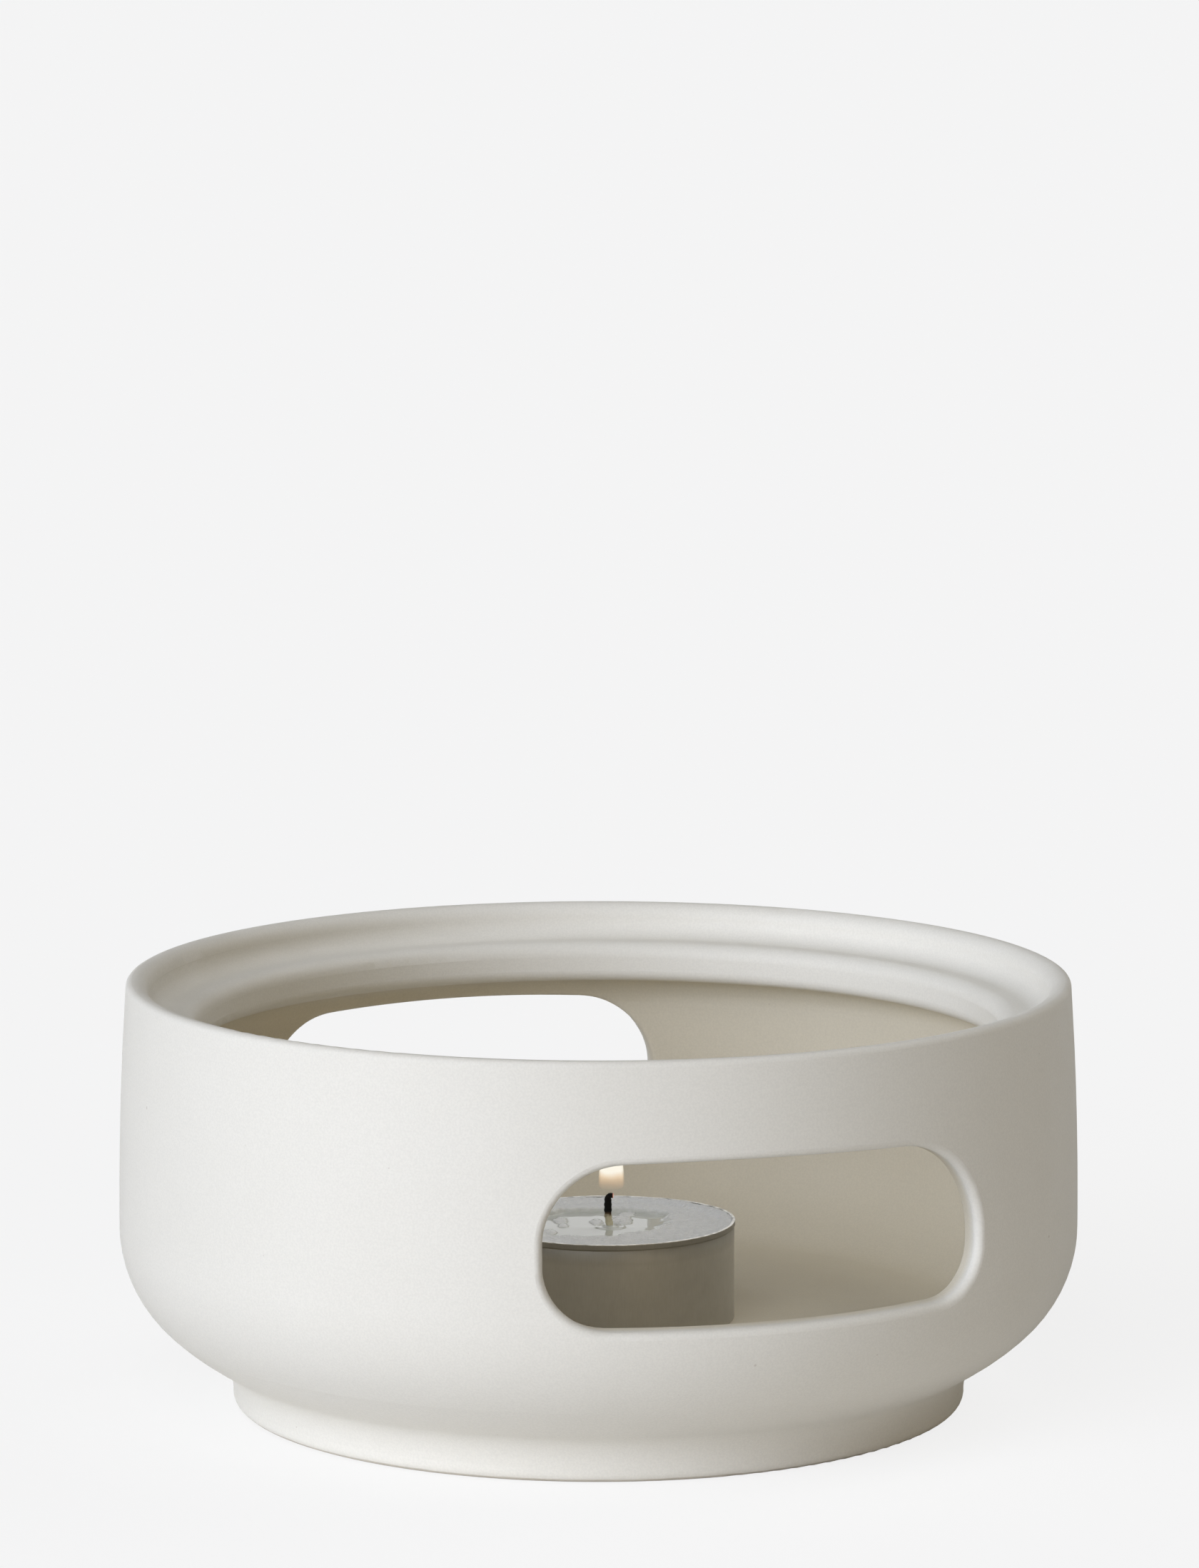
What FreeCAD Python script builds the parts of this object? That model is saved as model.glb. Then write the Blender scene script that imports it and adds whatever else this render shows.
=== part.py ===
import FreeCAD, Part
import math
import os
import Sketcher

# Driving dimensions in millimetres
SIZES = [
    # warmer body, outside
    ("total_height", 64.7),
    ("widest_radius", 72.5),
    ("widest_height", 27.35),
    ("flank_radius", 525.0),
    ("bowl_radius", 35.8),
    ("belly_lift", 1.58),
    ("foot_height", 5.98),
    ("foot_inset", 17.0),
    ("neck_cove", 6.0),
    ("foot_outer_round", 1.5),
    ("lip_outer_round", 0.9),
    # warmer body, inside
    ("wall", 4.3),
    ("floor_height", 12.2),
    ("floor_cove", 7.0),
    ("lip_inset", 4.7),
    ("lip_inner_round", 2.2),
    ("seat_depth", 5.3),
    ("seat_width", 7.2),
    ("seat_cove", 3.0),
    ("nose_height", 6.2),
    ("nose_top_round", 2.2),
    ("nose_bottom_round", 1.8),
    ("under_cove", 4.5),
    # warmer body, underneath
    ("base_height", 7.8),
    ("foot_width", 4.4),
    ("foot_inner_round", 0.7),
    ("base_cove", 3.0),
    # the two slots, left and right as seen from outside
    ("slot_half_width", 33.5),
    ("sill_rise", 13.8),
    ("slot_band", 2.3),
    ("ceiling_fall", 2.3),
    ("ceiling_tilt", 0.7),
    ("left_flat_outside", 6.4),
    ("left_flat_inside", 2.1),
    ("right_flat_outside", 3.2),
    ("right_flat_inside", 0.3),
    ("left_lower_share_outside", 0.486),
    ("left_lower_share_inside", 0.439),
    ("right_lower_share_outside", 0.381),
    ("right_lower_share_inside", 0.341),
    ("slot_overcut", 1.5),
    ("slot_outer_round", 1.0),
    ("slot_inner_round", 0.7),
    # tealight cup
    ("cup_radius", 19.15),
    ("cup_height", 15.1),
    ("cup_sheet", 0.3),
    ("cup_foot_round", 0.3),
    ("rim_height", 0.9),
    ("rim_reach", 0.25),
    ("rim_round", 0.2),
    ("cup_shift_x", 1.33),
    ("cup_shift_y", -0.31),
    # wax, wick and its holder
    ("wax_drop", 1.1),
    ("wax_shoulder", 2.35),
    ("pool_slope", 1.0),
    ("pool_depth", 0.3),
    ("holder_radius", 8.0),
    ("holder_sheet", 0.3),
    ("holder_neck_height", 2.6),
    ("wick_radius", 0.6),
    ("wick_reach", 3.9),
    ("wick_hook_radius", 0.9),
    ("wick_hook_reach", 0.6),
    ("wick_hook_direction", -21.5),
]

# Numbers by which a sketch knows the points of a line or arc, and its own upright axis and origin
WHOLE, START, END, MIDDLE = range(4)
UPRIGHT_AXIS, ORIGIN = range(-2, 0)

# How near an edge must lie to the circle or plane it is looked for on
NEAR = 0.05


class Size:
    """A length kept as a number beside the expression that ties it to the sheet."""

    def __init__(self, value, text):
        self.value = value
        self.text = text

    def combine(self, other, sign, value):
        text = other.text if isinstance(other, Size) else str(other)
        return Size(value, "(" + self.text + " " + sign + " " + text + ")")

    def __add__(self, other):
        return self.combine(other, "+", self.value + number(other))

    def __sub__(self, other):
        return self.combine(other, "-", self.value - number(other))

    def __mul__(self, other):
        return self.combine(other, "*", self.value * number(other))

    def __neg__(self):
        return Size(-self.value, "(-" + self.text + ")")

    def side(self, other):
        """The third side of a right triangle whose longest side is this one."""
        text = "sqrt(" + self.text + "^2 - " + other.text + "^2)"
        return Size(math.sqrt(self.value ** 2 - other.value ** 2), text)


def number(size):
    return size.value if isinstance(size, Size) else size


def make_sheet(doc):
    sheet = doc.addObject("Spreadsheet::Sheet", "sizes")
    named = {}
    for row, (name, value) in enumerate(SIZES, start=1):
        sheet.set("A" + str(row), name)
        sheet.set("B" + str(row), str(value))
        sheet.setAlias("B" + str(row), name)
        named[name] = Size(value, "sizes." + name)
    doc.recompute()
    return named


def add_worked_out_sizes(s):
    """Places that follow from the driving dimensions."""
    s["belly_radius"] = s["widest_height"] - s["foot_height"] - s["belly_lift"]
    s["foot_radius"] = s["widest_radius"] - s["foot_inset"]
    s["foot_inner_radius"] = s["foot_radius"] - s["foot_width"]
    s["inner_radius"] = s["widest_radius"] - s["wall"]
    s["lip_inner_radius"] = s["widest_radius"] - s["lip_inset"]
    s["seat_height"] = s["total_height"] - s["seat_depth"]
    s["seat_inner_radius"] = s["lip_inner_radius"] - s["seat_width"]
    s["under_height"] = s["seat_height"] - s["nose_height"]
    s["slot_bottom"] = s["floor_height"] + s["sill_rise"]
    s["slot_top_outside"] = s["under_height"] - s["slot_band"]
    s["slot_top_inside"] = s["slot_top_outside"] - s["ceiling_fall"]
    s["slot_outer_plane"] = s["widest_radius"] + s["slot_overcut"]
    s["slot_inner_plane"] = s["inner_radius"].side(s["slot_half_width"]) - s["slot_overcut"]
    s["cup_inner_radius"] = s["cup_radius"] - s["cup_sheet"]
    s["rim_radius"] = s["cup_radius"] + s["rim_reach"]
    s["rim_bottom"] = s["cup_height"] - s["rim_height"]
    s["wax_height"] = s["cup_height"] - s["wax_drop"]
    s["pool_height"] = s["wax_height"] - s["pool_depth"]
    s["pool_radius"] = s["cup_inner_radius"] - s["wax_shoulder"]
    s["pool_foot"] = s["pool_radius"] - s["pool_slope"]
    s["tab_top"] = s["cup_sheet"] + s["holder_sheet"]
    s["neck_radius"] = s["wick_radius"] + s["holder_sheet"]
    s["neck_top"] = s["cup_sheet"] + s["holder_neck_height"]
    s["bend_height"] = s["pool_height"] + s["wick_reach"]
    return s


def origin_part(body, role):
    for feature in body.Origin.OriginFeatures:
        if feature.Role == role:
            return feature
    raise ValueError("no origin feature called " + role)


def new_body(doc, name):
    body = doc.addObject("PartDesign::Body", name)
    body.Label = name
    return body


def new_sketch(body, name, role, forward=None):
    sketch = body.newObject("Sketcher::SketchObject", name)
    sketch.AttachmentSupport = [(origin_part(body, role), "")]
    sketch.MapMode = "FlatFace"
    if forward is not None:
        sketch.setExpression(".AttachmentOffset.Base.z", forward.text)
    return sketch


def tie(sketch, constraint, size):
    index = sketch.addConstraint(constraint)
    sketch.setExpression("Constraints[" + str(index) + "]", size.text)


def place(sketch, piece, point, across=None, up=None):
    """Hold a point of the sketch at named distances from the sketch's origin."""
    if across is not None:
        rule = Sketcher.Constraint("DistanceX", ORIGIN, START, piece, point, across.value)
        tie(sketch, rule, across)
    if up is not None:
        rule = Sketcher.Constraint("DistanceY", ORIGIN, START, piece, point, up.value)
        tie(sketch, rule, up)


def line(sketch, start, end):
    first = FreeCAD.Vector(number(start[0]), number(start[1]), 0)
    last = FreeCAD.Vector(number(end[0]), number(end[1]), 0)
    return sketch.addGeometry(Part.LineSegment(first, last), False)


def arc(sketch, centre, radius, start_angle, end_angle):
    circle = Part.Circle(FreeCAD.Vector(centre[0], centre[1], 0), FreeCAD.Vector(0, 0, 1), radius)
    return sketch.addGeometry(Part.ArcOfCircle(circle, start_angle, end_angle), False)


def join(sketch, first, first_point, second, second_point):
    sketch.addConstraint(Sketcher.Constraint("Coincident", first, first_point, second, second_point))


def blend(sketch, first, first_point, second, second_point):
    sketch.addConstraint(Sketcher.Constraint("Tangent", first, first_point, second, second_point))


def square_lines(sketch, points):
    """Lines through the points, each level or upright, joined end to start."""
    made = []
    for start, end in zip(points, points[1:]):
        made.append(line(sketch, start, end))
        level = start[1] is end[1] or number(start[1]) == number(end[1])
        sketch.addConstraint(Sketcher.Constraint("Horizontal" if level else "Vertical", made[-1]))
        if len(made) > 1:
            join(sketch, made[-2], END, made[-1], START)
    return made


def revolve(body, sketch, name):
    feature = body.newObject("PartDesign::Revolution", name)
    feature.Profile = sketch
    feature.ReferenceAxis = (sketch, ["V_Axis"])
    feature.Angle = 360.0
    return feature


def fillet(body, base, name, edges, radius):
    feature = body.newObject("PartDesign::Fillet", name)
    feature.Base = (base, edges)
    feature.setExpression("Radius", radius.text)
    feature.recompute()
    return feature


def ring_edges(shape, radius, height):
    """Names of the full circles about the upright axis at a radius and a height."""
    names = []
    for index, edge in enumerate(shape.Edges, start=1):
        if not isinstance(edge.Curve, Part.Circle) or not edge.isClosed():
            continue
        circle = edge.Curve
        if abs(circle.Radius - number(radius)) < NEAR and abs(circle.Center.z - number(height)) < NEAR:
            names.append("Edge" + str(index))
    return names


def bowl_centre(s, belly):
    """Centre of the bowl's arc, which starts at the top of the foot and runs on into the belly's arc."""
    radius = s["bowl_radius"].value
    foot = (s["foot_radius"].value, s["foot_height"].value)
    step = radius - s["belly_radius"].value
    across = belly[0] - foot[0]
    up = belly[1] - foot[1]
    apart = math.hypot(across, up)
    along = (radius ** 2 - step ** 2 + apart ** 2) / (2 * apart)
    aside = math.sqrt(radius ** 2 - along ** 2)
    return (
        foot[0] + (along * across - aside * up) / apart,
        foot[1] + (along * up + aside * across) / apart,
    )


def wall_outline(sketch, s):
    """Half section of the thrown wall: foot, bowl, belly, flank, lip, pot seat, nose, inner wall, floor."""
    belly = (s["widest_radius"].value - s["belly_radius"].value, s["widest_height"].value)
    bowl = bowl_centre(s, belly)
    turn = math.atan2(bowl[1] - belly[1], belly[0] - bowl[0])
    foot_turn = math.asin((bowl[1] - s["foot_height"].value) / s["bowl_radius"].value)
    flank = (s["widest_radius"].value - s["flank_radius"].value, belly[1])
    rise = math.asin((s["total_height"].value - belly[1]) / s["flank_radius"].value)
    lip_radius = flank[0] + s["flank_radius"].value * math.cos(rise)
    inner_belly_radius = s["belly_radius"] - s["wall"]
    inner_bowl_radius = s["bowl_radius"].value - s["wall"].value
    floor_turn = math.asin((bowl[1] - s["floor_height"].value) / inner_bowl_radius)
    floor_edge = bowl[0] + inner_bowl_radius * math.cos(floor_turn)

    bowl_arc = arc(sketch, bowl, s["bowl_radius"].value, -foot_turn, -turn)
    belly_arc = arc(sketch, belly, s["belly_radius"].value, -turn, 0)
    flank_arc = arc(sketch, flank, s["flank_radius"].value, 0, rise)
    inner_belly = arc(sketch, belly, inner_belly_radius.value, -turn, 0)
    inner_bowl = arc(sketch, bowl, inner_bowl_radius, -floor_turn, -turn)
    upper = square_lines(sketch, [
        (lip_radius, s["total_height"]),
        (s["lip_inner_radius"], s["total_height"]),
        (s["lip_inner_radius"], s["seat_height"]),
        (s["seat_inner_radius"], s["seat_height"]),
        (s["seat_inner_radius"], s["under_height"]),
        (s["inner_radius"], s["under_height"]),
        (s["inner_radius"], s["widest_height"]),
    ])
    lower = square_lines(sketch, [
        (floor_edge, s["floor_height"]),
        (0, s["floor_height"]),
        (0, s["base_height"]),
        (s["foot_inner_radius"], s["base_height"]),
        (s["foot_inner_radius"], 0),
        (s["foot_radius"], 0),
        (s["foot_radius"], s["foot_height"]),
    ])

    join(sketch, lower[-1], END, bowl_arc, START)
    blend(sketch, bowl_arc, END, belly_arc, START)
    blend(sketch, belly_arc, END, flank_arc, START)
    join(sketch, flank_arc, END, upper[0], START)
    blend(sketch, upper[-1], END, inner_belly, END)
    blend(sketch, inner_belly, START, inner_bowl, END)
    join(sketch, inner_bowl, START, lower[0], START)
    join(sketch, inner_bowl, MIDDLE, bowl_arc, MIDDLE)
    sketch.addConstraint(Sketcher.Constraint("PointOnObject", lower[1], START, UPRIGHT_AXIS))
    sketch.addConstraint(Sketcher.Constraint("PointOnObject", lower[4], START, ORIGIN))

    place(sketch, bowl_arc, START, s["foot_radius"], s["foot_height"])
    place(sketch, belly_arc, END, s["widest_radius"], s["widest_height"])
    place(sketch, belly_arc, MIDDLE, s["widest_radius"] - s["belly_radius"], s["widest_height"])
    place(sketch, inner_belly, END, s["inner_radius"], s["widest_height"])
    place(sketch, flank_arc, END, None, s["total_height"])
    place(sketch, upper[1], END, s["lip_inner_radius"], s["seat_height"])
    place(sketch, upper[3], END, s["seat_inner_radius"], s["under_height"])
    place(sketch, lower[0], START, None, s["floor_height"])
    place(sketch, lower[2], END, s["foot_inner_radius"], s["base_height"])
    tie(sketch, Sketcher.Constraint("Radius", bowl_arc, s["bowl_radius"].value), s["bowl_radius"])
    tie(sketch, Sketcher.Constraint("Radius", flank_arc, s["flank_radius"].value), s["flank_radius"])
    tie(sketch, Sketcher.Constraint("Radius", inner_belly, inner_belly_radius.value), inner_belly_radius)
    return (floor_edge, lip_radius)


def slot_corners(s, end, side, top):
    """Radii of the lower and the upper corner at one end of the slot, with a short upright flat between."""
    rounds = top - s["slot_bottom"] - s[end + "_flat_" + side]
    lower = rounds * s[end + "_lower_share_" + side]
    return (lower, rounds - lower)


def slot_outline(sketch, s, side, left_top, right_top):
    """Slot section: level sill, upright ends, four corner rounds and a ceiling that may tilt."""
    left_lower, left_upper = slot_corners(s, "left", side, left_top)
    right_lower, right_upper = slot_corners(s, "right", side, right_top)
    wide = s["slot_half_width"]
    low = s["slot_bottom"]
    quarter = math.pi / 2

    def corner(across, up, radius, turn):
        return arc(sketch, (across.value, up.value), radius.value, turn * quarter, (turn + 1) * quarter)

    sill = line(sketch, (left_lower - wide, low), (wide - right_lower, low))
    lower_right = corner(wide - right_lower, low + right_lower, right_lower, -1)
    right_end = line(sketch, (wide, low + right_lower), (wide, right_top - right_upper))
    upper_right = corner(wide - right_upper, right_top - right_upper, right_upper, 0)
    ceiling = line(sketch, (wide - right_upper, right_top), (left_upper - wide, left_top))
    upper_left = corner(left_upper - wide, left_top - left_upper, left_upper, 1)
    left_end = line(sketch, (-wide, left_top - left_upper), (-wide, low + left_lower))
    lower_left = corner(left_lower - wide, low + left_lower, left_lower, 2)
    around = [sill, lower_right, right_end, upper_right, ceiling, upper_left, left_end, lower_left]
    for before, after in zip(around, around[1:] + around[:1]):
        blend(sketch, before, END, after, START)
    sketch.addConstraint(Sketcher.Constraint("Horizontal", sill))
    sketch.addConstraint(Sketcher.Constraint("Vertical", right_end))
    sketch.addConstraint(Sketcher.Constraint("Vertical", left_end))
    for corner_arc, radius in (
        (lower_right, right_lower),
        (upper_right, right_upper),
        (upper_left, left_upper),
        (lower_left, left_lower),
    ):
        tie(sketch, Sketcher.Constraint("Radius", corner_arc, radius.value), radius)
    place(sketch, right_end, END, wide, right_top - right_upper)
    place(sketch, left_end, START, -wide, left_top - left_upper)
    place(sketch, sill, START, None, low)


def slot_edges(shape, s, least_radius, most_radius):
    """Names of the slots' edges that keep between two distances from the upright axis."""
    names = []
    for index, edge in enumerate(shape.Edges, start=1):
        points = edge.discretize(9)
        radii = [math.hypot(point.x, point.y) for point in points]
        heights = [point.z for point in points]
        widest = max(abs(point.x) for point in points)
        wall_ring = isinstance(edge.Curve, Part.Circle) and min(heights) > s["slot_bottom"].value + NEAR
        in_height = s["slot_bottom"].value - NEAR < min(heights) and max(heights) < s["under_height"].value
        at_slot = in_height and widest < s["slot_half_width"].value + NEAR
        if at_slot and least_radius < min(radii) and max(radii) < most_radius and not wall_ring:
            names.append("Edge" + str(index))
    return names


def round_the_rings(body, last, s, floor_edge, lip_radius):
    """Coves and rounds on the section's corners, each a ring about the upright axis."""
    rounds = [
        ("neck_cove_round", (s["foot_radius"], s["foot_height"]), "neck_cove"),
        ("foot_outer_rounding", (s["foot_radius"], 0), "foot_outer_round"),
        ("foot_inner_rounding", (s["foot_inner_radius"], 0), "foot_inner_round"),
        ("base_cove_round", (s["foot_inner_radius"], s["base_height"]), "base_cove"),
        ("floor_cove_round", (floor_edge, s["floor_height"]), "floor_cove"),
        ("under_cove_round", (s["inner_radius"], s["under_height"]), "under_cove"),
        ("nose_bottom_rounding", (s["seat_inner_radius"], s["under_height"]), "nose_bottom_round"),
        ("nose_top_rounding", (s["seat_inner_radius"], s["seat_height"]), "nose_top_round"),
        ("seat_cove_round", (s["lip_inner_radius"], s["seat_height"]), "seat_cove"),
        ("lip_inner_rounding", (s["lip_inner_radius"], s["total_height"]), "lip_inner_round"),
        ("lip_outer_rounding", (lip_radius, s["total_height"]), "lip_outer_round"),
    ]
    for name, (radius, height), size in rounds:
        last = fillet(body, last, name, ring_edges(last.Shape, radius, height), s[size])
    return last


def cut_slots(body, s):
    """One slot lofted through the wall, its outline smaller inside, and the same slot half a turn round."""
    outside = new_sketch(body, "slot_outside", "XZ_Plane", s["slot_outer_plane"])
    top = s["slot_top_outside"]
    slot_outline(outside, s, "outside", top, top - s["ceiling_tilt"])
    inside = new_sketch(body, "slot_inside", "XZ_Plane", s["slot_inner_plane"])
    slot_outline(inside, s, "inside", s["slot_top_inside"], s["slot_top_inside"])
    cut = body.newObject("PartDesign::SubtractiveLoft", "slot_cut")
    cut.Profile = outside
    cut.Sections = [inside]
    cut.Ruled = True
    body.Document.recompute()
    pair = body.newObject("PartDesign::PolarPattern", "slot_pair")
    pair.Originals = [cut]
    pair.Axis = (origin_part(body, "Z_Axis"), [""])
    pair.Angle = 360.0
    pair.Occurrences = 2
    body.Tip = pair
    body.Document.recompute()
    return pair


def warmer_body(doc, s):
    """The ceramic warmer, one cast piece: foot, bowl, flank, lip, pot seat and two opposite slots."""
    body = new_body(doc, "warmer_body")
    section = new_sketch(body, "wall_section", "XZ_Plane")
    floor_edge, lip_radius = wall_outline(section, s)
    wall = revolve(body, section, "thrown_wall")
    doc.recompute()
    round_the_rings(body, wall, s, floor_edge, lip_radius)
    pair = cut_slots(body, s)
    mid_wall = (s["inner_radius"].value + s["widest_radius"].value) / 2
    edges = slot_edges(pair.Shape, s, mid_wall, s["widest_radius"].value + NEAR)
    outer = fillet(body, pair, "slot_outer_rounding", edges, s["slot_outer_round"])
    edges = slot_edges(outer.Shape, s, s["seat_inner_radius"].value, s["inner_radius"].value + NEAR)
    fillet(body, outer, "slot_inner_rounding", edges, s["slot_inner_round"])
    return body


def tealight_cup(doc, s):
    """The drawn aluminium cup of the tealight with its curled rim."""
    body = new_body(doc, "tealight_cup")
    sketch = new_sketch(body, "cup_section", "XZ_Plane")
    sides = square_lines(sketch, [
        (0, 0),
        (s["cup_radius"], 0),
        (s["cup_radius"], s["rim_bottom"]),
        (s["rim_radius"], s["rim_bottom"]),
        (s["rim_radius"], s["cup_height"]),
        (s["cup_inner_radius"], s["cup_height"]),
        (s["cup_inner_radius"], s["cup_sheet"]),
        (0, s["cup_sheet"]),
        (0, 0),
    ])
    join(sketch, sides[-1], END, ORIGIN, START)
    join(sketch, sides[0], START, ORIGIN, START)
    place(sketch, sides[1], END, s["cup_radius"], s["rim_bottom"])
    place(sketch, sides[3], END, s["rim_radius"], s["cup_height"])
    place(sketch, sides[5], END, s["cup_inner_radius"], s["cup_sheet"])
    drawn = revolve(body, sketch, "drawn_cup")
    doc.recompute()
    edges = ring_edges(drawn.Shape, s["cup_radius"], 0)
    foot = fillet(body, drawn, "cup_foot_rounding", edges, s["cup_foot_round"])
    edges = ring_edges(foot.Shape, s["rim_radius"], s["rim_bottom"])
    edges += ring_edges(foot.Shape, s["rim_radius"], s["cup_height"])
    fillet(body, foot, "rim_rounding", edges, s["rim_round"])
    return body


def tealight_wax(doc, s):
    """The wax fill: shoulder at the cup's wall, shallow pool round the wick, hollow for the holder."""
    body = new_body(doc, "tealight_wax")
    sketch = new_sketch(body, "wax_section", "XZ_Plane")
    sides = square_lines(sketch, [
        (s["pool_foot"], s["pool_height"]),
        (s["wick_radius"], s["pool_height"]),
        (s["wick_radius"], s["neck_top"]),
        (s["neck_radius"], s["neck_top"]),
        (s["neck_radius"], s["tab_top"]),
        (s["holder_radius"], s["tab_top"]),
        (s["holder_radius"], s["cup_sheet"]),
        (s["cup_inner_radius"], s["cup_sheet"]),
        (s["cup_inner_radius"], s["wax_height"]),
        (s["pool_radius"], s["wax_height"]),
    ])
    slope = line(sketch, (s["pool_radius"], s["wax_height"]), (s["pool_foot"], s["pool_height"]))
    join(sketch, sides[-1], END, slope, START)
    join(sketch, slope, END, sides[0], START)
    place(sketch, sides[0], START, s["pool_foot"], s["pool_height"])
    place(sketch, sides[1], END, s["wick_radius"], s["neck_top"])
    place(sketch, sides[3], END, s["neck_radius"], s["tab_top"])
    place(sketch, sides[5], END, s["holder_radius"], s["cup_sheet"])
    place(sketch, sides[7], END, s["cup_inner_radius"], s["wax_height"])
    place(sketch, slope, START, s["pool_radius"], None)
    revolve(body, sketch, "poured_wax")
    return body


def wick_holder(doc, s):
    """The pressed steel tab on the cup's floor whose neck grips the wick."""
    body = new_body(doc, "wick_holder")
    sketch = new_sketch(body, "holder_section", "XZ_Plane")
    sides = square_lines(sketch, [
        (s["wick_radius"], s["cup_sheet"]),
        (s["holder_radius"], s["cup_sheet"]),
        (s["holder_radius"], s["tab_top"]),
        (s["neck_radius"], s["tab_top"]),
        (s["neck_radius"], s["neck_top"]),
        (s["wick_radius"], s["neck_top"]),
        (s["wick_radius"], s["cup_sheet"]),
    ])
    join(sketch, sides[-1], END, sides[0], START)
    place(sketch, sides[0], START, s["wick_radius"], s["cup_sheet"])
    place(sketch, sides[1], END, s["holder_radius"], s["tab_top"])
    place(sketch, sides[3], END, s["neck_radius"], s["neck_top"])
    revolve(body, sketch, "pressed_tab")
    return body


def tealight_wick(doc, s):
    """The cotton wick: upright through holder and wax, hooked over at its burnt tip."""
    body = new_body(doc, "tealight_wick")
    route = new_sketch(body, "wick_route", "XZ_Plane")
    hook = s["wick_hook_radius"].value
    turn = math.acos(1 - s["wick_hook_reach"].value / hook)
    stem = line(route, (0, s["cup_sheet"]), (0, s["bend_height"]))
    tip = arc(route, (hook, s["bend_height"].value), hook, math.pi - turn, math.pi)
    route.addConstraint(Sketcher.Constraint("Vertical", stem))
    route.addConstraint(Sketcher.Constraint("PointOnObject", stem, START, UPRIGHT_AXIS))
    blend(route, stem, END, tip, END)
    place(route, stem, START, None, s["cup_sheet"])
    place(route, stem, END, None, s["bend_height"])
    place(route, tip, START, s["wick_hook_reach"], None)
    tie(route, Sketcher.Constraint("Radius", tip, hook), s["wick_hook_radius"])
    section = new_sketch(body, "wick_section", "XY_Plane", s["cup_sheet"])
    circle = Part.Circle(FreeCAD.Vector(0, 0, 0), FreeCAD.Vector(0, 0, 1), s["wick_radius"].value)
    round_cord = section.addGeometry(circle, False)
    join(section, round_cord, MIDDLE, ORIGIN, START)
    tie(section, Sketcher.Constraint("Radius", round_cord, s["wick_radius"].value), s["wick_radius"])
    doc.recompute()
    cord = body.newObject("PartDesign::AdditivePipe", "braided_cord")
    cord.Profile = section
    cord.Spine = (route, ["Edge1", "Edge2"])
    return body


def seat_in_warmer(body, s, turned=False):
    """Stand a tealight piece on the warmer's floor, where the cup is."""
    body.setExpression("Placement.Base.x", s["cup_shift_x"].text)
    body.setExpression("Placement.Base.y", s["cup_shift_y"].text)
    body.setExpression("Placement.Base.z", s["floor_height"].text)
    if turned:
        body.Placement.Rotation = FreeCAD.Rotation(FreeCAD.Vector(0, 0, 1), s["wick_hook_direction"].value)
        body.setExpression("Placement.Rotation.Angle", s["wick_hook_direction"].text)


def check_document(doc, bodies):
    for item in doc.Objects:
        if "Invalid" in item.State or "Error" in item.State:
            raise RuntimeError(item.Name + " is " + ", ".join(item.State))
    for body in bodies:
        if body.Shape.isNull() or not body.Shape.isValid():
            raise RuntimeError(body.Label + " has no valid shape")
        print(body.Label, "solids", len(body.Shape.Solids), "volume", round(body.Shape.Volume, 2))


def main():
    doc = FreeCAD.newDocument("teapot_warmer")
    sizes = add_worked_out_sizes(make_sheet(doc))
    warmer = warmer_body(doc, sizes)
    cup = tealight_cup(doc, sizes)
    wax = tealight_wax(doc, sizes)
    holder = wick_holder(doc, sizes)
    wick = tealight_wick(doc, sizes)
    for piece in (cup, wax, holder):
        seat_in_warmer(piece, sizes)
    seat_in_warmer(wick, sizes, turned=True)
    doc.recompute()
    bodies = [warmer, cup, wax, holder, wick]
    check_document(doc, bodies)
    os.makedirs("parts", exist_ok=True)
    for body in bodies:
        body.Shape.exportStep("parts/" + body.Label + ".step")


main()
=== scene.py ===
# %% [markdown]
# # A ceramic teapot warmer with its tealight
#
# The warmer is one piece of stoneware under a matt off-white glaze. A pot stands on the ledge inside
# the lip, and two slots feed air to a tealight on the floor. The solids come from the part's own model,
# which this script opens first. It keeps the ceramic as it is and gives it a finish. The cup, the wax,
# the wick and the flame are small and irregular, so they are shaped again here with finer forms.

# %% Open the solids
import math

import bmesh
import bpy
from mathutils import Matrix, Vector, noise


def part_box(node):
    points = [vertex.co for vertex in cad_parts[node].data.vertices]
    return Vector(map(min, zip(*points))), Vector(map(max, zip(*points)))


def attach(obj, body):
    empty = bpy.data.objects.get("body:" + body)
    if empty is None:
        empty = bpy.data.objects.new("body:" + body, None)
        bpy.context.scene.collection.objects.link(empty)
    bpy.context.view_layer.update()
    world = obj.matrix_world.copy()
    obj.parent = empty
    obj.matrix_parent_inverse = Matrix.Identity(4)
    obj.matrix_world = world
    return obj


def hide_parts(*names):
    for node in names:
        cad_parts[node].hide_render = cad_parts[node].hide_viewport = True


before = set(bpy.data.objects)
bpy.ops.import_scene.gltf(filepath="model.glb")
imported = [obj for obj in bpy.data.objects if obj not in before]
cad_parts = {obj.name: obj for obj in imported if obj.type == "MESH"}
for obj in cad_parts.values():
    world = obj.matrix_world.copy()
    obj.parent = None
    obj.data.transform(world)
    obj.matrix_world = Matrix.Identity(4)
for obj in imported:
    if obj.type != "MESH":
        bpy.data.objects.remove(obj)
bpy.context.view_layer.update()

# %% [markdown]
# The model is in metres with its origin under the middle of the foot. The candle's pieces are laid out
# from the cup's own box, so they follow it when its size or place changes. Marks on the wax are given
# as the camera sees them, so many millimetres to the right of the cup's middle and so many away from the
# viewer. The camera stands 21.7 degrees to the left of the front slot, so those two directions are turned
# by as much.

# %% Measure the candle
MM = 0.001
VIEW_TURN = math.radians(21.7)
RIGHT = Vector((math.cos(VIEW_TURN), -math.sin(VIEW_TURN), 0))
AWAY = Vector((math.sin(VIEW_TURN), math.cos(VIEW_TURN), 0))

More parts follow.
